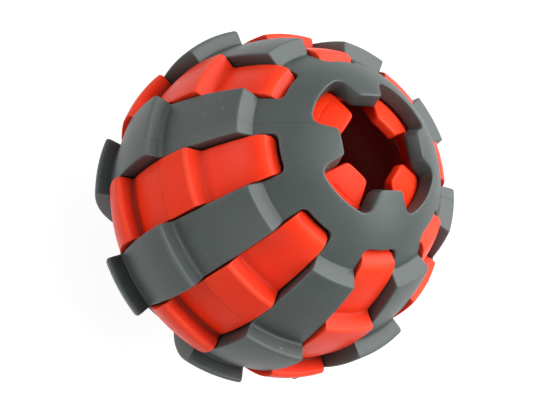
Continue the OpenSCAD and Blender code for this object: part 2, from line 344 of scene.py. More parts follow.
class SlotGrid:
    """Rows along a section and columns round the axis, drawn aside round eight slots.

    A slot has the half angle `half` about the axis, ends at the angle `end` from it, and has
    corners of radius `corner`. Every line keeps its number when the slot's outline is moved out by
    o, so grids of different o join up row by row. `mouth` is a function of how far its outline is
    moved out and of the columns' azimuths, which gives the first and last row."""

    bands = 8
    # Columns on each side of a slot and across half of it, and so in a whole sector
    sides, middles = 6, 4
    sector = 2 * (sides + middles)
    # Rows in a slot's corner, and between the mouth and the slots
    rounds, caps = 6, 9
    # Rows near a ridge or crease, as shares of its reach, and the room that they leave at a corner
    near = np.array([-1.5, -1.05, -0.7, -0.4, -0.13, 0.13, 0.4, 0.7, 1.05, 1.5])
    corner_room = 0.3 * MM

    def __init__(self, section, half, end, corner, mouth, pitch=2.0 * MM):
        self.section, self.half, self.corner, self.mouth = section, half, corner, mouth
        self.top = section.s[np.argmax(section.theta >= end)]
        self.low = section.s[len(section.s) - 1 - np.argmax(section.theta[::-1] <= math.pi - end)]
        self.rho_top = np.interp(self.top, section.s, section.rho)
        self.rho_low = np.interp(self.low, section.s, section.rho)
        first, last = self.top + corner, self.low - corner
        fixed = np.sort((section.knots[:, None] + section.soft[:, None] * self.near).ravel())
        clear = (fixed > first + self.corner_room) & (fixed < last - self.corner_room)
        fixed = np.concatenate([[first], fixed[clear], [last]])
        gaps = np.maximum(1, np.ceil(np.diff(fixed) / pitch).astype(int))
        rows = [a + (b - a) * np.arange(n) / n for a, b, n in zip(fixed[:-1], fixed[1:], gaps)]
        self.long = np.concatenate(rows)[1:]
        self.columns = self.sector * self.bands
        self.first_row = self.caps
        self.last_row = self.caps + 2 * self.rounds + 1 + len(self.long)
        self.rows = self.last_row + self.caps + 1

    def across(self, side):
        """Azimuths of all the columns, where the slots' half angle is `side` in each row."""
        step = math.pi / self.bands
        side = side[:, None]
        left = np.arange(self.sides) / self.sides
        mid = np.arange(2 * self.middles) / self.middles - 1
        gap = left * (step - side)
        local = np.concatenate([gap - step, mid * side, side + gap], axis=1)
        centres = step * (2 * np.arange(self.bands) + 1)
        return (centres[None, :, None] + local[:, None, :]).reshape(len(side), -1)

    def at(self, o=0.0, mouth_o=0.0):
        """Places along the section and azimuths of every grid point, with the slots' outlines
        moved out by o and the mouths' by mouth_o."""
        phi = np.linspace(0, math.pi / 2, self.rounds + 1)
        swing, aside = (self.corner + o) * (1 - np.cos(phi)), (self.corner + o) * np.sin(phi)
        s = np.concatenate([self.top - o + swing, self.long, (self.low + o - swing)[::-1]])
        rho_long = np.interp(self.long, self.section.s, self.section.rho)
        side = np.concatenate([self.half + (aside - self.corner) / self.rho_top,
                               self.half + o / rho_long,
                               (self.half + (aside - self.corner) / self.rho_low)[::-1]])
        azimuth = self.across(side)
        s = np.repeat(s[:, None], self.columns, axis=1)
        v = (np.arange(self.caps) / self.caps)[:, None]
        rho, turned = self.mouth(mouth_o, azimuth[0])
        start = self.section.at_rho(rho, 1)
        finish = self.section.at_rho(rho, -1)
        upper = start + (s[0] - start) * v, turned + (azimuth[0] - turned) * smooth(v)
        lower = finish + (s[-1] - finish) * v, turned + (azimuth[-1] - turned) * smooth(v)
        return (np.concatenate([upper[0], s, lower[0][::-1]]),
                np.concatenate([upper[1], azimuth, lower[1][::-1]]))

    def in_slot(self):
        """Which cells, between a row and the next and a column and the next, lie in a slot."""
        row = np.arange(self.rows - 1)[:, None]
        column = np.arange(self.columns)[None, :] % self.sector
        return ((row >= self.first_row) & (row < self.last_row)
                & (column >= self.sides) & (column < self.sides + 2 * self.middles))

    def ring(self, k):
        """Row and column numbers once round the outline of slot k."""
        a = k * self.sector + self.sides
        b = a + 2 * self.middles
        across, down = np.arange(a, b), np.arange(self.first_row, self.last_row)
        rows = np.concatenate([np.full(len(across), self.first_row), down,
                               np.full(len(across), self.last_row), down[::-1] + 1])
        columns = np.concatenate([across, np.full(len(down), b), across[::-1] + 1,
                                  np.full(len(down), a)])
        return rows, columns % self.columns


class Skin:
    """Grids of points that are joined into one closed mesh."""

    # Points nearer than this become one, and edges shorter than half of it go
    merge = 2e-6
    # How strongly the bigger faces lead the shading
    shading_weight = 60

    def __init__(self):
        self.points, self.faces, self.count = [], [], 0
        # Marks for the materials: edge turns rounded edges pale, partly as wear and partly as a
        # painted highlight; deep and the crease mark paint shade into gaps, hollows and creases
        self.marks = {"edge": [], "deep": [], "crease_shade": []}

    def add(self, xyz, edge=0.0, deep=0.0, crease_shade=0.0, keep=None):
        """Adds a grid of points, rows by columns, whose last column is joined to its first. `keep`
        says which cells have a face. The others are marks for the materials."""
        rows, columns = xyz.shape[:2]
        number = self.count + np.arange(rows * columns).reshape(rows, columns)
        number = np.concatenate([number, number[:, :1]], axis=1)
        quads = np.stack([number[:-1, :-1], number[1:, :-1], number[1:, 1:], number[:-1, 1:]],
                         axis=-1)
        if keep is not None:
            quads = quads[keep]
        self.faces.append(quads.reshape(-1, 4))
        self.points.append(xyz.reshape(-1, 3))
        for key, values in (("edge", edge), ("deep", deep), ("crease_shade", crease_shade)):
            self.marks[key].append(np.broadcast_to(values, (rows, columns)).ravel())
        self.count += rows * columns

    def finish(self, name, material, body, node, slot):
        """Joins the grids, turns every face outwards and makes the object that stands for a
        node."""
        mesh = bpy.data.meshes.new(name)
        mesh.from_pydata(np.concatenate(self.points), [], np.concatenate(self.faces))
        for key, values in self.marks.items():
            layer = mesh.attributes.new(key, "FLOAT", "POINT")
            layer.data.foreach_set("value", np.concatenate(values).astype("f"))
        work = bmesh.new()
        work.from_mesh(mesh)
        loose = [v for v in work.verts if not v.link_faces]
        bmesh.ops.delete(work, geom=loose, context="VERTS")
        bmesh.ops.remove_doubles(work, verts=work.verts, dist=self.merge)
        bmesh.ops.dissolve_degenerate(work, edges=work.edges, dist=self.merge / 2)
        bmesh.ops.recalc_face_normals(work, faces=work.faces)
        open_edges = sum(1 for e in work.edges if not e.is_manifold)
        if work.calc_volume() < 0:
            bmesh.ops.reverse_faces(work, faces=work.faces)
        work.to_mesh(mesh)
        work.free()
        print(name, "faces", len(mesh.polygons), "open edges", open_edges)
        mesh.polygons.foreach_set("use_smooth", np.ones(len(mesh.polygons), dtype=bool))
        mesh.materials.append(material)
        piece = bpy.data.objects.new(name, mesh)
        bpy.context.scene.collection.objects.link(piece)
        weigh = piece.modifiers.new("Even shading", "WEIGHTED_NORMAL")
        weigh.weight = self.shading_weight
        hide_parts(node)
        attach(piece, body)
        return piece


# Shapes of the pieces

# Where the half sections start and end, inside every opening on the axis
AXIS_ROOM = 8 * MM
# Angle of the first flap round the axis in degrees, half a lobe from a tooth
FIRST_FLAP = 22.5


def cage_section(cage):
    """The outside of the cage: dome, flat step to the first ridge, three falling blocks between
    steps, and the far dome."""
    ridge_1 = on_sphere(cage.tread_r, cage.ridge_top_z)
    crease_2 = on_sphere(cage.crease_r, cage.ridge_mid_z)
    ridge_2 = on_sphere(cage.ridge_mid_r, cage.ridge_mid_z)
    crease_3 = on_sphere(cage.crease_r, cage.ridge_low_z + cage.step_lean)
    ridge_3 = on_sphere(cage.tread_r, cage.ridge_low_z)
    seam = math.sqrt(cage.dome_r ** 2 - (cage.ridge_top_z - cage.dome_z) ** 2)
    crease_1, tail = np.array([seam, cage.ridge_top_z]), np.array([seam, -cage.ridge_top_z])
    pieces = [
        dome_arc(cage.dome_r, cage.dome_z, AXIS_ROOM, seam, 1),
        bow(crease_1, ridge_1, 0), bow(ridge_1, crease_2, cage.bulge_top),
        bow(crease_2, ridge_2, 0), bow(ridge_2, crease_3, cage.bulge_mid),
        bow(crease_3, ridge_3, 0), bow(ridge_3, tail, cage.bulge_low),
        dome_arc(cage.dome_r, cage.dome_z, seam, AXIS_ROOM, -1)]
    soft = [cage.crisp] * 2 + [cage.crease_soft, cage.ridge_soft] * 2 + [cage.crease_soft]
    core = (cage.waist_r, cage.dome_r - cage.dome_wall, cage.dome_z)
    # Painted shade along creases 2 and 4
    return Section(pieces, soft, {2: 0.4, 4: 0.5}, core, straight=20.5 * MM, level=0.6,
                   level_z=cage.ridge_low_z)


def ball_section(cage, ball):
    """The outside of the ball with its tread: dome, flat end of a band, three falling blocks
    between steps, and the far dome."""
    dome_r = cage.dome_r - cage.dome_wall - ball.fit_gap
    block_1 = on_sphere(ball.end_r, ball.end_z)
    groove_2 = on_sphere(ball.crease_r, ball.mid_z)
    block_2 = on_sphere(ball.block_r, ball.mid_z)
    groove_3 = on_sphere(ball.crease_r, ball.low_z + ball.low_lean)
    block_3 = on_sphere(ball.block_r, ball.low_z)
    tail = on_sphere(ball.tail_r, ball.tail_z)
    seam = math.sqrt(dome_r ** 2 - (ball.end_z - cage.dome_z) ** 2)
    groove_1, foot = np.array([seam, ball.end_z]), np.array([seam, ball.tail_z])
    pieces = [
        dome_arc(dome_r, cage.dome_z, AXIS_ROOM, seam, 1),
        bow(groove_1, block_1, 0), bow(block_1, groove_2, ball.bulge_top, early=0.55),
        bow(groove_2, block_2, 0), bow(block_2, groove_3, ball.bulge_mid),
        bow(groove_3, block_3, 0), bow(block_3, tail, ball.bulge_low, early=0.6),
        bow(tail, foot, 0), dome_arc(dome_r, cage.dome_z, seam, AXIS_ROOM, -1)]
    soft = ([ball.end_soft] * 2 + [ball.crease_soft, ball.ridge_soft] * 2 + [ball.end_soft] * 2)
    core = (cage.waist_r - ball.fit_gap, dome_r, cage.dome_z)
    # Painted shade along creases 2 and 4
    return Section(pieces, soft, {2: 0.3, 4: 0.8}, core, straight=17 * MM)


class MouthOutline:
    """The opening of a mouth, from the middle of a tooth to the middle of a lobe.

    A straight tip and side, an arc of the lobe's corner radius that is tangent to the side and to
    the rim, and the rim, with the tooth's corner rounded by a running mean. Mirrors of it make the
    rest."""

    # Shares of the columns up to the start and end of the tooth's corner and of the arc
    shares = [0, 0.1, 0.3, 0.42, 0.7, 1]
    arc_points, rim_points = 60, 80
    # How far the columns of the corner go, as a multiple of its rounding, and past the arc
    corner_reach, arc_reach = 1.3, 0.2 * MM
    # The middle of the first tooth
    tooth_angle = math.radians(67.5)

    def __init__(self, mouth, sector):
        tip = np.array([mouth.tooth_tip_r, mouth.tooth_tip_half])
        root_x = math.sqrt(mouth.lobe_r ** 2 - mouth.tooth_root_half ** 2)
        root = np.array([root_x, mouth.tooth_root_half])
        along = (root - tip) / np.hypot(*(root - tip))
        across = np.array([-along[1], along[0]])
        base = tip + across * mouth.tooth_fillet_r
        inner_r = mouth.lobe_r - mouth.tooth_fillet_r
        far = math.sqrt((base @ along) ** 2 - base @ base + inner_r ** 2) - base @ along
        centre = base + along * far
        first = math.atan2(-across[1], -across[0])
        last = math.atan2(centre[1], centre[0])
        t = np.linspace(first, last, self.arc_points)[:, None]
        fillet = centre + mouth.tooth_fillet_r * np.concatenate([np.cos(t), np.sin(t)], axis=1)
        t = np.linspace(last, math.pi / 4, self.rim_points)[:, None]
        rim = mouth.lobe_r * np.concatenate([np.cos(t), np.sin(t)], axis=1)
        points = np.concatenate([[[mouth.tooth_tip_r, 0.0]], [tip], fillet, rim[1:]])
        run = length_along(points)
        self.s = np.arange(0.0, run[-1] + CURVE_STEP, CURVE_STEP)
        self.x, self.y = (rounded(np.interp(self.s, run, points[:, i]), mouth.tip_soft)
                          for i in (0, 1))
        tangent = np.gradient(np.stack([self.x, self.y]), CURVE_STEP, axis=1)
        self.tangent = tangent / np.hypot(*tangent)
        soft = self.corner_reach * mouth.tip_soft
        corner, arc_start, arc_end = run[1], run[2], run[1 + self.arc_points]
        self.places = [0, corner - soft, corner + soft, arc_start - self.arc_reach,
                       arc_end + self.arc_reach, run[-1]]
        self.sector = sector

    def __call__(self, o, azimuth):
        """Distance from the axis and azimuth of each column, with the outline moved out by o."""
        j = np.arange(len(azimuth)) - 1.5 * self.sector
        turn_of = np.floor(j / (2 * self.sector))
        q = j / self.sector - 2 * turn_of
        back = q > 1
        s = np.interp(np.where(back, 2 - q, q), self.shares, self.places)
        x, y, tx, ty = (np.interp(s, self.s, v) for v in (self.x, self.y, *self.tangent))
        x, y = x + o * ty, y - o * tx
        angle = np.arctan2(y, x)
        angle = np.where(back, math.pi / 2 - angle, angle)
        return np.hypot(x, y), angle + self.tooth_angle + turn_of * math.pi / 2


def round_layers(radius, steps=5):
    """Layers of a rounded edge: how far each is moved out, radius * (1 - sin), how deep it lies,
    radius * (1 - cos), and how much of an edge it is, from 0.35 at its ends to 1 in its middle."""
    phi = np.linspace(0, math.pi / 2, steps)
    edge = 0.35 + 0.65 * np.sin(2 * phi)
    return zip(radius * (1 - np.sin(phi)), radius * (1 - np.cos(phi)), edge)


def slot_walls(skin, section, grid, radius, out, layers=6):
    """Walls round each slot or band, from the rounded edge down to the inside of the section,
    with painted shade that deepens inwards. A band's edge is rounded inwards (out -1) and a
    slot's outwards (out 1)."""
    walls = []
    for o, depth, edge in round_layers(radius):
        s, azimuth = grid.at(out * o)
        walls.append((section.place(s, azimuth, depth), np.maximum(section.edge(s), edge), 0.0,
                      section.crease_shade(s)))
    s, azimuth = grid.at()
    for part in np.linspace(0, 1, layers + 1)[1:]:
        walls.append((section.place(s, azimuth, radius, part), 0 * s, part, section.crease_shade(s)))
    places, edges, deeps, folds = zip(*walls)
    for k in range(grid.bands):
        ring = grid.ring(k)
        xyz, edge, crease_shade = (np.stack([layer[ring] for layer in grids])
                           for grids in (places, edges, folds))
        skin.add(xyz, edge, np.array(deeps)[:, None], crease_shade)


def mouth_wall(skin, section, grid, mouth, row, layers=5):
    """The wall of one mouth, which draws in towards the inside and is rounded at both edges; row 0
    is the first mouth and -1 the last."""
    radius, slope = mouth.edge_r, mouth.slope
    walls = []
    for o, depth, edge in round_layers(radius):
        s, azimuth = (v[row] for v in grid.at(0, o))
        walls.append((section.place(s, azimuth, depth), edge, 0.0))
    # Painted shade deepens down the wall and is deepest along its inside edge
    for part in np.linspace(0, 1, layers + 1)[1:-1]:
        s, azimuth = (v[row] for v in grid.at(0, -slope * part))
        walls.append((section.place(s, azimuth, radius, part, part * radius), 0.0,
                      mouth.wall_dark * part))
    for o, short, edge in reversed(list(round_layers(radius))):
        s, azimuth = (v[row] for v in grid.at(0, o - slope))
        walls.append((section.place(s, azimuth, 0.0, 1.0, short), 0.0, mouth.foot_dark))
    xyz, edge, deep = (np.array(column) for column in zip(*walls))
    skin.add(xyz, edge[:, None], deep[:, None])


def build_cage(cage, mouth, material):
    """The cage: an outer and an inner sheet with slots left open, and a wall with a rounded edge
    round each slot and each mouth."""
    section = cage_section(cage)
    grid = SlotGrid(section, cage.slot_half, cage.slot_end, cage.slot_corner,
                    MouthOutline(mouth, SlotGrid.sector))
    solid = ~grid.in_slot()
    skin = Skin()
    s, azimuth = grid.at(cage.edge_r, mouth.edge_r)
    skin.add(section.place(s, azimuth), section.edge(s), 0.0, section.crease_shade(s), keep=solid)
    s, azimuth = grid.at(0, mouth.edge_r - mouth.slope)
    # The inner sheet is painted wholly in the deep colour, as shade
    skin.add(section.place(s, azimuth, part=1), deep=1, keep=solid)
    slot_walls(skin, section, grid, cage.edge_r, 1)
    for row in (0, -1):
        mouth_wall(skin, section, grid, mouth, row)
    return skin.finish("cage", material, "shell", "outer_cage", "grey_rubber")


def hollow_section(cage, ball, steps=5, rows=48):
    """Half section of the ball's hollow, as distance from the axis, height and painted shade.

    The hole's edge is a quarter circle and its wall is straight. The hollow is the greater of the
    waist's sphere and a dome, which for a radius r and a centre z up lies at
    z cos + sqrt(r^2 - (z sin)^2) from the origin. The far end mirrors the first."""
    dome_r = cage.dome_r - cage.dome_wall - ball.fit_gap
    inner_dome, inner_waist = dome_r - ball.wall, cage.waist_r - ball.fit_gap - ball.wall
    low = cage.dome_z + math.sqrt(inner_dome ** 2 - ball.hole_r ** 2)
    rim = cage.dome_z + math.sqrt(dome_r ** 2 - (ball.hole_r + ball.edge_r) ** 2)
    phi = np.linspace(0, math.pi / 2, steps)
    wall_z = np.linspace(rim - ball.edge_r, low, steps)[1:]
    rho = np.concatenate([ball.hole_r + ball.edge_r * (1 - np.sin(phi)), 0 * wall_z + ball.hole_r])
    z = np.concatenate([rim - ball.edge_r * (1 - np.cos(phi)), wall_z])
    start = math.atan2(ball.hole_r, low)
    theta = np.linspace(start, math.pi - start, rows)[1:-1]
    dome = (cage.dome_z * np.abs(np.cos(theta))
            + np.sqrt(inner_dome ** 2 - (cage.dome_z * np.sin(theta)) ** 2))
    far = np.maximum(dome, inner_waist)
    rho = np.concatenate([rho, far * np.sin(theta), rho[::-1]])[:, None]
    z = np.concatenate([z, far * np.cos(theta), -z[::-1]])[:, None]
    # Painted shade in the hollow, growing inwards from the hole over the shade reach
    deep = ball.hollow_dark * smooth((math.hypot(ball.hole_r, low) - np.abs(z)) / ball.dark_reach)
    return rho, z, deep


def build_ball(cage, ball, material):
    """The ball: a capsule with eight raised bands whose edges are rounded, a hole at each end and
    a hollow inside."""
    section = ball_section(cage, ball)
    gap = math.asin(ball.side_gap / ball.block_r)
    grid = SlotGrid(section, cage.slot_half - gap, cage.slot_end + gap,
                    cage.slot_corner - ball.side_gap / 2,
                    lambda o, azimuth: (np.full(len(azimuth), ball.hole_r + o), azimuth))
    band = grid.in_slot()
    skin = Skin()
    s, azimuth = grid.at(-ball.edge_r)
    skin.add(section.place(s, azimuth), section.edge(s), 0.0, section.crease_shade(s), keep=band)
    s, azimuth = grid.at(0, ball.edge_r)
    core = section.place(s, azimuth, part=1)
    # The ball's core is painted in the deep colour as shade where it lies under the cage
    under_cage = np.abs(core[..., 2]) < cage.dome_z + ball.core_clear
    skin.add(core, deep=under_cage, keep=~band)
    slot_walls(skin, section, grid, ball.edge_r, -1)
    rho, z, deep = hollow_section(cage, ball)
    around = azimuth[0]
    hollow = np.stack([rho * np.cos(around), rho * np.sin(around), z + 0 * around], axis=-1)
    skin.add(hollow, deep=deep)
    return skin.finish("ball", material, "shell", "inner_ball", "red_rubber")


def rounded_box(half_width, half_height, radius, corner=5, side=7):
    """Points once round a box with rounded corners, one row for each given size: each is a corner
    centre plus radius times a unit direction, with `corner` points round each corner and `side`
    points between on the long sides."""
    phi = np.linspace(0, math.pi / 2, corner)
    along = np.linspace(1, -1, side + 2)[1:-1]
    c, s = np.cos(phi), np.sin(phi)
    one, nil = np.ones(corner), np.zeros(side)
    ax = np.concatenate([one, along, -one, -one, -along, one])
    bx = np.concatenate([c, nil, -s, -c, nil, s])
    ay = np.concatenate([one, nil + 1, one, -one, nil - 1, -one])
    by = np.concatenate([s, nil + 1, c, -s, nil - 1, -c])
    w, h, r = (v[:, None] for v in (half_width, half_height, radius))
    return ax * (w - r) + bx * r, ay * (h - r) + by * r


def build_flap(cage, ball, flap, end, k, material, rounds=5, rows=8):
    """One flap: a rounded box carried along the dome from its tip to its hinge line.

    A point at distance x from the axis, y aside and t from the middle of the wall lies at
    C + (r + t) * unit(x, y, sqrt(r^2 - x^2 - y^2)), where C is the centre of the dome and r the
    radius of the wall's middle. The tip is thinner from below and drawn in by a quarter circle,
    and the root is a half roll about the hinge line. A row at one point closes each end."""
    half, edge = ball.wall / 2, flap.edge_r
    middle_r = cage.dome_r - cage.dome_wall - ball.fit_gap - half
    phi = np.linspace(0, math.pi / 2, rounds)
    roll = np.linspace(0, math.pi / 2, rows)[:-1]
    straight = np.linspace(flap.tip_r + edge, flap.hinge_r, rows)[1:-1]
    x = np.concatenate([flap.tip_r + edge * (1 - np.cos(phi)), straight,
                        flap.hinge_r + half * np.sin(roll)])
    t = np.clip((x - flap.tip_r) / (flap.hinge_r - flap.tip_r), 0, 1)
    thin = flap.tip_thin / 2 * (1 - t)
    height = np.concatenate([half - edge * (1 - np.sin(phi)), 0 * straight + half,
                             half * np.cos(roll)]) - thin
    near = np.clip((x - flap.tip_r) / flap.tip_corner, 0, 1)
    width = (flap.tip_half + (flap.root_half - flap.tip_half) * t
             - flap.tip_corner * (1 - np.sqrt(1 - (1 - near) ** 2)))
    # A corner's radius stays just under the half height, so that no side gets turned over
    y, up = rounded_box(width, height, np.minimum(edge, height * 0.999))
    up = up + thin[:, None]
    x = np.repeat(x[[0, *range(len(x)), -1], None], y.shape[1], axis=1)
    y = np.concatenate([0 * y[:1], y, 0 * y[:1]])
    up = np.concatenate([0 * up[:1] + thin[0], up, 0 * up[:1]])
    z = np.sqrt(middle_r ** 2 - x ** 2 - y ** 2)
    scale = (middle_r + up) / middle_r
    xyz = np.stack([x * scale, y * scale, z * scale + cage.dome_z], axis=-1)
    angle = math.radians(FIRST_FLAP + 90 * k)
    c, s = math.cos(angle), math.sin(angle)
    xyz = xyz @ np.array([[c, s, 0], [-s, c, 0], [0, 0, 1]])
    xyz[..., 2] *= end
    skin = Skin()
    skin.add(xyz)
    name = f"{'top' if end > 0 else 'bottom'}_flap_{k + 1}"
    return skin.finish(name + "_rubber", material, name, name, "red_rubber")


# Materials

def new_group(name, inputs, outputs):
    """An empty shader node group with float inputs, by name and default, and float outputs."""
    group = bpy.data.node_groups.new(name, "ShaderNodeTree")
    for key, default in inputs:
        socket = group.interface.new_socket(key, in_out="INPUT", socket_type="NodeSocketFloat")
        socket.default_value = default
    for key in outputs:
        group.interface.new_socket(key, in_out="OUTPUT", socket_type="NodeSocketFloat")
    return group, group.nodes.new("NodeGroupInput"), group.nodes.new("NodeGroupOutput")


def math_node(tree, operation, a, b=0.0):
    """A Math node fed by sockets or numbers."""
    node = tree.nodes.new("ShaderNodeMath")
    node.operation = operation
    for socket, value in zip(node.inputs, (a, b)):
        if isinstance(value, (int, float)):
            socket.default_value = value
        else:
            tree.links.new(value, socket)
    return node.outputs[0]


def noise(tree, where, scale, detail, roughness=0.5):
    """A Noise texture on a coordinate socket."""
    node = tree.nodes.new("ShaderNodeTexNoise")
    tree.links.new(where, node.inputs["Vector"])
    node.inputs["Scale"].default_value = scale
    node.inputs["Detail"].default_value = detail
    node.inputs["Roughness"].default_value = roughness
    return node.outputs["Fac"]


def ramp(tree, value, low, high):
    """Value mapped from low..high to 0..1 and clamped."""
    node = tree.nodes.new("ShaderNodeMapRange")
    node.inputs["From Min"].default_value = low
    node.inputs["From Max"].default_value = high
    tree.links.new(value, node.inputs["Value"])
    return node.outputs["Result"]


def blend_colour(tree, factor, a, b):
    """A Mix node for colours a and b, each a socket or a colour, with a socket for the factor."""
    node = tree.nodes.new("ShaderNodeMix")
    node.data_type = "RGBA"
    factor_socket, a_socket, b_socket = (node.inputs[i] for i in (0, 6, 7))
    for socket, value in ((factor_socket, factor), (a_socket, a), (b_socket, b)):
        if hasattr(value, "is_linked"):
            tree.links.new(value, socket)
        else:
            socket.default_value = (*value, 1.0)
    return node.outputs[2]


def rubber_skin_group():
    """Masks of moulded rubber: cloudy tone, fine grain, rare specks and short scratches. The
    scales of the noises and cells are their numbers in a metre."""
    name = "Rubber skin"
    if name in bpy.data.node_groups:
        return bpy.data.node_groups[name]
    masks = ("Cloud", "Grain", "Specks", "Scratches")
    group, take, give = new_group(name, [("Size", 1.0)], masks)
    place = group.nodes.new("ShaderNodeVectorMath")
    place.operation = "SCALE"
    group.links.new(group.nodes.new("ShaderNodeTexCoord").outputs["Object"], place.inputs[0])
    group.links.new(take.outputs["Size"], place.inputs["Scale"])
    where = place.outputs[0]
    cloud = noise(group, where, scale=45, detail=3, roughness=0.55)
    grain = noise(group, where, scale=2600, detail=2, roughness=0.6)
    cells = group.nodes.new("ShaderNodeTexVoronoi")
    cells.inputs["Scale"].default_value = 160
    group.links.new(where, cells.inputs["Vector"])
    dots = ramp(group, cells.outputs["Distance"], low=0.09, high=0.05)
    dusty = ramp(group, noise(group, where, scale=110, detail=1), low=0.62, high=0.68)
    specks = math_node(group, "MULTIPLY", dots, dusty)
    stretch = group.nodes.new("ShaderNodeMapping")
    stretch.inputs["Scale"].default_value = (140, 900, 500)
    stretch.inputs["Rotation"].default_value = (0.4, 0.3, 0.9)
    group.links.new(where, stretch.inputs["Vector"])
    fibres = noise(group, stretch.outputs[0], scale=1.0, detail=1)
    lines = ramp(group, fibres, low=0.735, high=0.76)
    worn = ramp(group, noise(group, where, scale=60, detail=1), low=0.5, high=0.6)
    scratches = math_node(group, "MULTIPLY", lines, worn)
    for key, value in zip(masks, (cloud, grain, specks, scratches)):
        group.links.new(value, give.inputs[key])
    return group


def parting_mask(tree, normal, offset, width):
    """1 within a fifth of `width` from the mould's parting plane, the points p with
    p . normal = offset, falling to 0 at `width` from it."""
    place = tree.nodes.new("ShaderNodeTexCoord")
    apart = tree.nodes.new("ShaderNodeVectorMath")
    apart.operation = "DOT_PRODUCT"
    apart.inputs[1].default_value = normal
    tree.links.new(place.outputs["Object"], apart.inputs[0])
    away = math_node(tree, "ABSOLUTE", math_node(tree, "SUBTRACT", apart.outputs["Value"], offset))
    return ramp(tree, away, width, 0.2 * width)


# Widths of the parting line's stain and ridge, and the height of the bump for a value of 1
STAIN_WIDTH, LINE_WIDTH, BUMP_HEIGHT = 0.45 * MM, 0.2 * MM, 0.12 * MM
# Shares of the cloud and of the parting line's stain in the tone
CLOUD_TONE, STAIN_TONE = 0.22, 0.25
# How far the cloud spreads the roughness
CLOUD_ROUGH = 0.16
# Parts of the grain, the cloud and the parting line in the bump
GRAIN_BUMP, CLOUD_BUMP, LINE_BUMP = 0.6, 0.8, 0.8


def rubber(name, base, rubbed, deep, roughness, gloss, grain, edge_wear_and_sheen, speck, normal, offset, shown):
    """Moulded rubber.

    The cloud varies the tone from base to rubbed. Rounded edges show the rubbed colour by the
    share `edge_wear_and_sheen`, partly as rubbed wear and partly as a painted highlight, and
    specks and scratches show it by `speck`. Creases, gaps and hollows take the deep colour as
    painted shade. A thin raised line follows the mould's parting plane, which `normal` and
    `offset` give, by the share
    `shown`, and darkens the tone along it."""
    material = bpy.data.materials.new(name)
    material.use_nodes = True
    tree = material.node_tree
    shader = tree.nodes["Principled BSDF"]
    skin = tree.nodes.new("ShaderNodeGroup")
    skin.node_tree = rubber_skin_group()
    edge, recess_shade, crease_shade = (tree.nodes.new("ShaderNodeAttribute") for _ in range(3))
    edge.attribute_name, recess_shade.attribute_name, crease_shade.attribute_name = "edge", "deep", "crease_shade"
    cloudy = math_node(tree, "MULTIPLY", ramp(tree, skin.outputs["Cloud"], low=0.35, high=0.7),
                       CLOUD_TONE)
    marks = math_node(tree, "MAXIMUM", skin.outputs["Specks"], skin.outputs["Scratches"])
    stain = parting_mask(tree, normal, offset, STAIN_WIDTH)
    tone = blend_colour(tree, cloudy, base, rubbed)
    # Tone: pale rounded edges, partly wear and partly a painted highlight; real specks and
    # scratches; painted shade from the crease and deep marks; the parting line's stain
    for share_of, colour_to in (
            (math_node(tree, "MULTIPLY", edge.outputs["Fac"], edge_wear_and_sheen), rubbed),
            (math_node(tree, "MULTIPLY", marks, speck), rubbed),
            (crease_shade.outputs["Fac"], deep),
            (ramp(tree, recess_shade.outputs["Fac"], low=0.0, high=0.5), deep),
            (math_node(tree, "MULTIPLY", stain, STAIN_TONE * shown), deep)):
        tone = blend_colour(tree, share_of, tone, colour_to)
    tree.links.new(tone, shader.inputs["Base Color"])
    uneven = math_node(tree, "MULTIPLY", skin.outputs["Cloud"], CLOUD_ROUGH)
    rough = math_node(tree, "ADD", uneven, roughness - CLOUD_ROUGH / 2)
    tree.links.new(rough, shader.inputs["Roughness"])
    height = math_node(tree, "ADD",
                       math_node(tree, "MULTIPLY", skin.outputs["Grain"], GRAIN_BUMP),
                       math_node(tree, "MULTIPLY", skin.outputs["Cloud"], CLOUD_BUMP))
    line = math_node(tree, "MULTIPLY", parting_mask(tree, normal, offset, LINE_WIDTH),
                     LINE_BUMP * shown)
    bump = tree.nodes.new("ShaderNodeBump")
    bump.inputs["Strength"].default_value = grain
    bump.inputs["Distance"].default_value = BUMP_HEIGHT
    tree.links.new(math_node(tree, "ADD", height, line), bump.inputs["Height"])
    tree.links.new(bump.outputs["Normal"], shader.inputs["Normal"])
    shader.inputs["Specular IOR Level"].default_value = gloss
    return material


def grey_rubber(finish):
    """The cage's rubber: matt, with pale edges that are partly rubbed wear and partly a painted
    highlight, painted shade in creases, gaps and inside, and a parting line through the axis.
    """
    name = "Grey rubber"
    return bpy.data.materials.get(name) or rubber(
        name, tuple(finish.grey), tuple(finish.grey_dust_and_sheen), tuple(finish.grey_shade_and_stain),
        roughness=finish.grey_rough, gloss=0.4, grain=finish.grain, edge_wear_and_sheen=0.3, speck=0.6,
        normal=(-math.sin(finish.parting), math.cos(finish.parting), 0), offset=0.0, shown=1.0)


def red_rubber(finish):
    """The ball's rubber: clear red with a soft shine, painted shade in the creases, gaps and
    hollow, pale edges that are partly rubbed wear and partly a painted highlight, and a faint
    parting line across the axis."""
    name = "Red rubber"
    return bpy.data.materials.get(name) or rubber(
        name, tuple(finish.red), tuple(finish.red_dust_and_sheen), tuple(finish.red_shade_and_stain),
        roughness=finish.red_rough, gloss=0.15, grain=finish.grain, edge_wear_and_sheen=0.35, speck=0.25,
        normal=(0, 0, 1), offset=finish.red_line, shown=0.5)


# Stage

# Width of the photograph in pixels, and how far its view is moved right and up
PHOTO_WIDTH = 550
VIEW_SHIFT = (1.0, -0.7)
# Name of each lamp, its direction as parts right, up and towards the viewer, and its watts
LAMPS = (("Key lamp", (0.6, 0.3, 0.75), 3.3), ("Grazing lamp", (0.86, 0.5, 0.14), 4.6),
         ("Low lamp", (0.9, -0.2, 0.4), 3.8), ("Top lamp", (-0.5, 0.8, 0.4), 0.6),
         ("Rim lamp", (-1.0, 0.3, 0.3), 9.0), ("Left lamp", (-0.6, -0.5, 0.65), 2.2),
         ("Under lamp", (0.0, -0.8, 0.6), 0.8), ("Upper lamp", (0.3, 0.6, 0.7), 1.0))


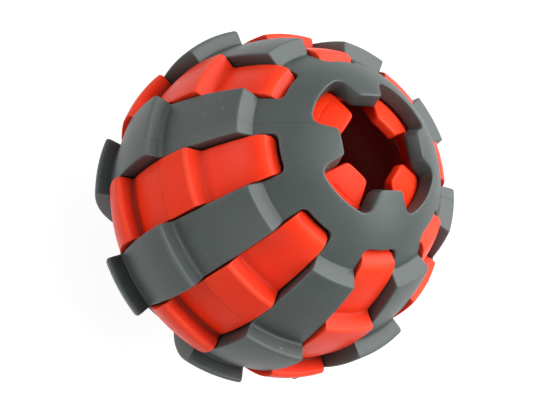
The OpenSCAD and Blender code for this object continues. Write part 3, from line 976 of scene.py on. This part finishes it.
def view_axes(stage):
    """Right, up and towards the viewer, from the tilt, roll and swing of the ball in the view."""
    pole = np.array([0.0, 0.0, 1.0])
    aim = np.array([math.cos(stage.swing), math.sin(stage.swing), 0.0])
    towards = math.cos(stage.tilt) * pole + math.sin(stage.tilt) * aim
    rise = math.sin(stage.tilt) * pole - math.cos(stage.tilt) * aim
    aside = -np.cross(pole, aim)
    right = math.cos(stage.roll) * rise - math.sin(stage.roll) * aside
    up = math.sin(stage.roll) * rise + math.cos(stage.roll) * aside
    return right, up, towards


def placed(data, name, right, up, back, spot):
    """An object for a camera or a lamp at `spot`, with its own axes along the three directions."""
    made = bpy.data.objects.new(name, data)
    made.matrix_world = Matrix([[right[i], up[i], back[i], spot[i]] for i in range(3)]
                               + [[0, 0, 0, 1]])
    bpy.context.scene.collection.objects.link(made)
    return made


def add_camera(stage, right, up, towards):
    """The camera, which looks at the origin as the photograph does."""
    data = bpy.data.cameras.new("Camera")
    data.lens = stage.lens
    data.sensor_width = 36.0
    data.clip_start = 0.01
    data.shift_x, data.shift_y = (shift / PHOTO_WIDTH for shift in VIEW_SHIFT)
    return placed(data, "Camera", right, up, towards, towards * stage.distance)


def add_lamp(name, where, size, power):
    """A round area lamp at `where` that faces the origin."""
    data = bpy.data.lights.new(name, "AREA")
    data.shape = "DISK"
    data.size, data.energy = size, power
    back = where / np.linalg.norm(where)
    side = np.cross([0.0, 0.0, 1.0], back) if abs(back[2]) < 0.99 else np.array([1.0, 0.0, 0.0])
    side /= np.linalg.norm(side)
    return placed(data, name, side, np.cross(back, side), back, where)


def seen_directly(tree):
    """1 for rays from the camera, mirror rays and rays through glass, else 0."""
    paths = tree.nodes.new("ShaderNodeLightPath")
    seen = math_node(tree, "MAXIMUM", paths.outputs["Is Camera Ray"],
                     paths.outputs["Is Transmission Ray"])
    return math_node(tree, "MAXIMUM", seen, paths.outputs["Is Glossy Ray"])


def add_world(ambient):
    """A world that gives the strength `ambient` of soft light and is white where it is seen."""
    world = bpy.data.worlds.new("Studio")
    world.use_nodes = True
    tree = world.node_tree
    tree.nodes.clear()
    give = tree.nodes.new("ShaderNodeOutputWorld")
    soft, white = (tree.nodes.new("ShaderNodeBackground") for _ in range(2))
    mix = tree.nodes.new("ShaderNodeMixShader")
    tree.links.new(seen_directly(tree), mix.inputs[0])
    for socket, shader, strength in ((mix.inputs[1], soft, ambient), (mix.inputs[2], white, 1.0)):
        shader.inputs["Color"].default_value = (1, 1, 1, 1)
        shader.inputs["Strength"].default_value = strength
        tree.links.new(shader.outputs[0], socket)
    tree.links.new(mix.outputs[0], give.inputs[0])
    return world


def pale_floor():
    """The floor's material: pale where it is seen, and see-through from below."""
    material = bpy.data.materials.new("Pale floor")
    material.use_nodes = True
    tree = material.node_tree
    shader = tree.nodes["Principled BSDF"]
    shader.inputs["Base Color"].default_value = (0.2, 0.2, 0.2, 1)
    shader.inputs["Roughness"].default_value = 0.9
    shader.inputs["Emission Color"].default_value = (1, 1, 1, 1)
    glow = math_node(tree, "MULTIPLY", seen_directly(tree), 0.92)
    tree.links.new(glow, shader.inputs["Emission Strength"])
    below = tree.nodes.new("ShaderNodeNewGeometry").outputs["Backfacing"]
    tree.links.new(math_node(tree, "SUBTRACT", 1.0, below), shader.inputs["Alpha"])
    return material


def add_floor(half, z):
    """A square floor with the given half width at height z."""
    mesh = bpy.data.meshes.new("Floor")
    corners = [(-half, -half, z), (half, -half, z), (half, half, z), (-half, half, z)]
    mesh.from_pydata(corners, [], [(0, 1, 2, 3)])
    mesh.materials.append(pale_floor())
    floor = bpy.data.objects.new("Floor", mesh)
    bpy.context.scene.collection.objects.link(floor)
    return floor


# Operators

class TREATBALL_OT_cage(bpy.types.Operator):
    """Makes the grey cage with its tread, slots and mouths"""
    bl_idname = "treatball.cage"
    bl_label = "Grey cage"

    def execute(self, context):
        scene = context.scene
        material = grey_rubber(scene.treatball_finish)
        build_cage(scene.treatball_cage, scene.treatball_mouth, material)
        return {"FINISHED"}


class TREATBALL_OT_ball(bpy.types.Operator):
    """Makes the red ball with its tread, holes and hollow"""
    bl_idname = "treatball.ball"
    bl_label = "Red ball"

    def execute(self, context):
        scene = context.scene
        material = red_rubber(scene.treatball_finish)
        build_ball(scene.treatball_cage, scene.treatball_ball, material)
        return {"FINISHED"}


class TREATBALL_OT_flaps(bpy.types.Operator):
    """Makes the four flaps of each hole"""
    bl_idname = "treatball.flaps"
    bl_label = "Flaps"

    def execute(self, context):
        scene = context.scene
        sizes = scene.treatball_cage, scene.treatball_ball, scene.treatball_flap
        material = red_rubber(scene.treatball_finish)
        for end in (1, -1):
            for k in range(4):
                build_flap(*sizes, end, k, material)
        return {"FINISHED"}


class TREATBALL_OT_stage(bpy.types.Operator):
    """Makes the floor, the lamps, the world and the camera"""
    bl_idname = "treatball.stage"
    bl_label = "Stage"

    def execute(self, context):
        scene = context.scene
        stage = scene.treatball_stage
        right, up, towards = view_axes(stage)
        scene.camera = add_camera(stage, right, up, towards)
        scene.view_settings.view_transform = "Standard"
        for name, (x, y, z), power in LAMPS:
            where = x * right + y * up + z * towards
            add_lamp(name, where / np.linalg.norm(where) * stage.lamp_far, stage.lamp_size, power)
        scene.world = add_world(stage.ambient)
        add_floor(stage.floor_half, CAD_BOX[0][2] - stage.floor_drop)
        return {"FINISHED"}


class TREATBALL_PT_panel(bpy.types.Panel):
    """Lists the sizes, colours and steps of the treat ball."""
    bl_idname = "TREATBALL_PT_panel"
    bl_label = "Treat Ball"
    bl_space_type = "VIEW_3D"
    bl_region_type = "UI"
    bl_category = "Treat Ball"

    def draw(self, context):
        for operator in OPERATORS:
            self.layout.operator(operator.bl_idname)
        for key, group in GROUPS.items():
            box = self.layout.box()
            box.label(text=group.__doc__)
            for name in group.__annotations__:
                box.prop(getattr(context.scene, key), name)


GROUPS = {"treatball_cage": CageSizes, "treatball_mouth": MouthSizes,
          "treatball_ball": BallSizes, "treatball_flap": FlapSizes,
          "treatball_finish": Finishes, "treatball_stage": StageSizes}
OPERATORS = (TREATBALL_OT_cage, TREATBALL_OT_ball, TREATBALL_OT_flaps, TREATBALL_OT_stage)


def register():
    """Registers the classes and adds their settings to the scene."""
    for item in (*GROUPS.values(), *OPERATORS, TREATBALL_PT_panel):
        bpy.utils.register_class(item)
    for key, group in GROUPS.items():
        setattr(bpy.types.Scene, key, PointerProperty(type=group))


def unregister():
    """Takes the settings and the classes out again."""
    for key in GROUPS:
        delattr(bpy.types.Scene, key)
    for item in reversed((*GROUPS.values(), *OPERATORS, TREATBALL_PT_panel)):
        bpy.utils.unregister_class(item)


def main():
    """Builds the whole scene."""
    register()
    bpy.ops.treatball.cage()
    bpy.ops.treatball.ball()
    bpy.ops.treatball.flaps()
    bpy.ops.treatball.stage()


if __name__ == "__main__":
    main()
